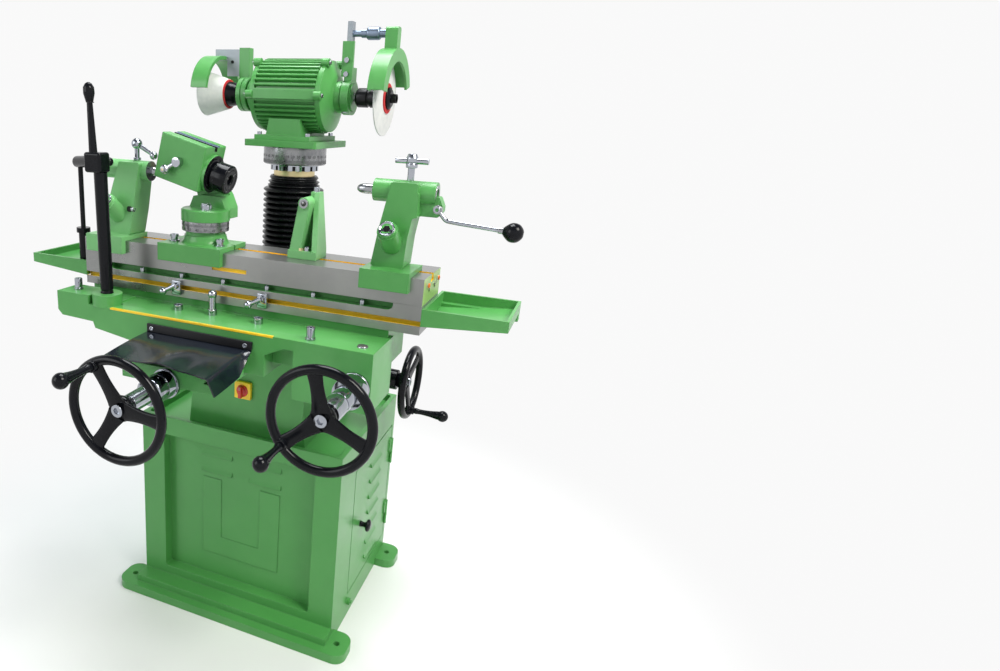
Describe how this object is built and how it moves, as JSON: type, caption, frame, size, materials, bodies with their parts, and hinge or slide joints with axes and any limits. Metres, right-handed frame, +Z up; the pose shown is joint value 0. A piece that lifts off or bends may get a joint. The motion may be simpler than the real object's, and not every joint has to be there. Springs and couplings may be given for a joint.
{
  "type": "tool and cutter grinder",
  "caption": "Floor-standing tool and cutter grinder: cabinet, cross slide, long swivelling table with workhead and centres, and a lifting twin-wheel motor head with guards.",
  "frame": {"origin": "floor level, centre of the four floor bolt holes under the cabinet", "axes": "+X along the table to the operator's right, +Y away from the operator, +Z up"},
  "size_m": [1.195, 1.0465, 1.532],
  "materials": {
    "black_enamel": "gloss",
    "black_rubber": "matte",
    "brass": "satin",
    "chrome": "polished",
    "green_paint": "gloss",
    "ground_iron": "ground",
    "guard_grey": "satin",
    "red_switch": "gloss",
    "steel": "satin",
    "white_abrasive": "matte",
    "yellow_paint": "gloss"
  },
  "bodies": {
    "base": {"base_cabinet": "green_paint", "neck_column": "green_paint", "cross_bed": "green_paint", "bellows": "black_rubber", "switch_plate": "yellow_paint", "cross_bearing": "chrome", "lift_bearing": "black_enamel"},
    "door": {"door": "green_paint", "door_knob": "black_enamel"},
    "switch_dial": {"switch_knob": "red_switch"},
    "cross_wheel": {"cross_shaft": "chrome", "cross_handwheel": "black_enamel"},
    "cross_handle": {"cross_grip": "black_enamel"},
    "lift_wheel": {"lift_handwheel": "black_enamel"},
    "lift_handle": {"lift_grip": "black_enamel"},
    "saddle": {"saddle": "green_paint", "shelf_bolts": "chrome", "chute_clamp": "steel", "chute_sheet": "black_rubber", "traverse_bearing": "chrome"},
    "traverse_wheel": {"traverse_shaft": "chrome", "traverse_handwheel": "black_enamel"},
    "traverse_handle": {"traverse_grip": "black_enamel"},
    "lever": {"quick_lever": "black_enamel"},
    "table": {"lower_table": "ground_iron", "recess_bolts": "chrome", "left_tray": "green_paint", "right_tray": "green_paint", "table_link": "black_enamel"},
    "left_stop_dog": {"left_dog": "chrome"},
    "right_stop_dog": {"right_dog": "chrome"},
    "swivel_table": {"upper_table": "ground_iron", "end_plate": "green_paint"},
    "left_stock": {"left_tailstock": "green_paint", "left_centre": "steel"},
    "left_stock_clamp": {"left_clamp": "chrome"},
    "work_head": {"workhead_base": "green_paint", "workhead_scale": "chrome"},
    "work_yoke": {"workhead_yoke": "green_paint"},
    "work_housing": {"workhead_body": "green_paint"},
    "work_chuck": {"work_spindle": "black_enamel"},
    "tilt_clamp": {"workhead_clamp": "chrome"},
    "rest": {"tooth_rest": "green_paint"},
    "plunger": {"rest_plunger": "steel"},
    "right_stock": {"right_tailstock": "green_paint"},
    "quill": {"right_quill": "steel"},
    "quill_handle": {"quill_lever": "chrome"},
    "quill_screw": {"quill_clamp": "chrome"},
    "column": {"lift_column": "steel", "index_collar": "brass"},
    "wheelhead": {"scale_ring": "chrome", "motor_plate": "green_paint", "motor_body": "green_paint", "guard_bracket": "green_paint"},
    "grinding_spindle": {"spindle": "black_enamel", "disc_wheel": "white_abrasive", "cup_wheel": "white_abrasive"},
    "cup_guard": {"left_guard": "green_paint"},
    "guard_slide": {"guard_bar": "guard_grey"},
    "disc_guard": {"right_guard": "green_paint"}
  },
  "joints": [
    {"name": "door_hinge", "type": "hinge", "parent": "base", "child": "door", "pos_m": [0.292, 0.242, 0.25], "axis": [0, 0, 1], "range_deg": [0, 100]},
    {"name": "switch_turn", "type": "hinge", "parent": "base", "child": "switch_dial", "pos_m": [-0.005, -0.163, 0.639], "axis": [0, -1, 0], "range_deg": [-90, 0]},
    {"name": "cross_feed", "type": "slide", "parent": "base", "child": "saddle", "axis": [0, 1, 0], "range_m": [-0.035, 0.035]},
    {"name": "cross_wheel_turn", "type": "hinge", "parent": "base", "child": "cross_wheel", "pos_m": [0, -0.664, 0.781], "axis": [0, -1, 0], "range_deg": [-1262, 1262]},
    {"name": "cross_grip_spin", "type": "hinge", "parent": "cross_wheel", "child": "cross_handle", "pos_m": [-0.04413, -0.7, 0.864], "axis": [0, -1, 0], "continuous": true},
    {"name": "table_traverse", "type": "slide", "parent": "saddle", "child": "table", "axis": [1, 0, 0], "range_m": [-0.06, 0.06]},
    {"name": "traverse_wheel_turn", "type": "hinge", "parent": "saddle", "child": "traverse_wheel", "pos_m": [0.362, -0.557, 0.799], "axis": [0, -1, 0], "range_deg": [-271, 271]},
    {"name": "traverse_grip_spin", "type": "hinge", "parent": "traverse_wheel", "child": "traverse_handle", "pos_m": [0.29152, -0.6, 0.73986], "axis": [0, -1, 0], "continuous": true},
    {"name": "lever_swing", "type": "hinge", "parent": "saddle", "child": "lever", "pos_m": [-0.268, -0.352, 0.901], "axis": [0, 1, 0], "range_deg": [-12, 12]},
    {"name": "left_dog_slide", "type": "slide", "parent": "table", "child": "left_stop_dog", "axis": [1, 0, 0], "range_m": [-0.08, 0]},
    {"name": "right_dog_slide", "type": "slide", "parent": "table", "child": "right_stop_dog", "axis": [1, 0, 0], "range_m": [0, 0.08]},
    {"name": "table_swivel", "type": "hinge", "parent": "table", "child": "swivel_table", "pos_m": [0.0305, -0.198, 0.982], "axis": [0, 0, 1], "range_deg": [-10, 4]},
    {"name": "left_stock_slide", "type": "slide", "parent": "swivel_table", "child": "left_stock", "axis": [1, 0, 0], "range_m": [-0.016, 0]},
    {"name": "left_clamp_turn", "type": "hinge", "parent": "left_stock", "child": "left_stock_clamp", "pos_m": [-0.272, -0.215, 1.22], "axis": [0, 0, 1], "range_deg": [-60, 60]},
    {"name": "work_head_slide", "type": "slide", "parent": "swivel_table", "child": "work_head", "axis": [1, 0, 0], "range_m": [0, 0.08]},
    {"name": "work_head_swivel", "type": "hinge", "parent": "work_head", "child": "work_yoke", "pos_m": [-0.083, -0.215, 1.08], "axis": [0, 0, 1], "range_deg": [-12, 12]},
    {"name": "work_head_tilt", "type": "hinge", "parent": "work_yoke", "child": "work_housing", "pos_m": [-0.128, -0.209, 1.2035], "axis": [0, 1, 0], "range_deg": [-30, 2]},
    {"name": "work_spindle_turn", "type": "hinge", "parent": "work_housing", "child": "work_chuck", "pos_m": [-0.13045, -0.209, 1.19381], "axis": [0.9694, 0, -0.2453], "continuous": true},
    {"name": "tilt_clamp_turn", "type": "hinge", "parent": "work_housing", "child": "tilt_clamp", "pos_m": [-0.128, -0.263, 1.2035], "axis": [0, -1, 0], "range_deg": [-60, 60]},
    {"name": "rest_slide", "type": "slide", "parent": "swivel_table", "child": "rest", "axis": [1, 0, 0], "range_m": [-0.05, 0.03]},
    {"name": "plunger_slide", "type": "slide", "parent": "rest", "child": "plunger", "axis": [0, 1, 0], "range_m": [0, 0.004], "stiffness_N_per_m": 800, "springref_m": -0.008},
    {"name": "right_stock_slide", "type": "slide", "parent": "swivel_table", "child": "right_stock", "axis": [1, 0, 0], "range_m": [-0.03, 0.012]},
    {"name": "quill_slide", "type": "slide", "parent": "right_stock", "child": "quill", "axis": [1, 0, 0], "range_m": [0, 0.012], "stiffness_N_per_m": 1500, "springref_m": -0.02},
    {"name": "quill_lever_turn", "type": "hinge", "parent": "right_stock", "child": "quill_handle", "pos_m": [0.46, -0.2332, 1.146], "axis": [0, 1, 0], "range_deg": [0, 26]},
    {"name": "quill_clamp_turn", "type": "hinge", "parent": "right_stock", "child": "quill_screw", "pos_m": [0.395, -0.215, 1.235], "axis": [0, 0, 1], "range_deg": [-60, 60]},
    {"name": "column_lift", "type": "slide", "parent": "base", "child": "column", "axis": [0, 0, 1], "range_m": [-0.03, 0.03], "deforming": ["bellows"]},
    {"name": "lift_wheel_turn", "type": "hinge", "parent": "base", "child": "lift_wheel", "pos_m": [0.354, 0.1, 0.645], "axis": [1, 0, 0], "range_deg": [-1082, 1082]},
    {"name": "lift_grip_spin", "type": "hinge", "parent": "lift_wheel", "child": "lift_handle", "pos_m": [0.38, 0.11024, 0.56163], "axis": [1, 0, 0], "continuous": true},
    {"name": "wheelhead_swivel", "type": "hinge", "parent": "column", "child": "wheelhead", "pos_m": [0, 0.1, 1.2], "axis": [0, 0, 1], "range_deg": [-30, 30]},
    {"name": "grinding_spindle_turn", "type": "hinge", "parent": "wheelhead", "child": "grinding_spindle", "pos_m": [0, 0.1, 1.359], "axis": [1, 0, 0], "continuous": true},
    {"name": "cup_guard_turn", "type": "hinge", "parent": "wheelhead", "child": "cup_guard", "pos_m": [-0.145, 0.1, 1.359], "axis": [1, 0, 0], "range_deg": [-25, 25]},
    {"name": "guard_bar_slide", "type": "slide", "parent": "wheelhead", "child": "guard_slide", "axis": [0, 0, 1], "range_m": [-0.002, 0.02]},
    {"name": "disc_guard_turn", "type": "hinge", "parent": "guard_slide", "child": "disc_guard", "pos_m": [0.23, 0.1, 1.505], "axis": [1, 0, 0], "range_deg": [-5, 5]}
  ],
  "couplings": [
    {"joint": "cross_wheel_turn", "follows": "cross_feed", "rad_per_m": -628.32},
    {"joint": "traverse_wheel_turn", "follows": "table_traverse", "rad_per_m": -78.54},
    {"joint": "lever_swing", "follows": "table_traverse", "rad_per_m": 3.367},
    {"joint": "lift_wheel_turn", "follows": "column_lift", "rad_per_m": -628.32},
    {"joint": "quill_lever_turn", "follows": "quill_slide", "rad_per_m": 35.714}
  ]
}
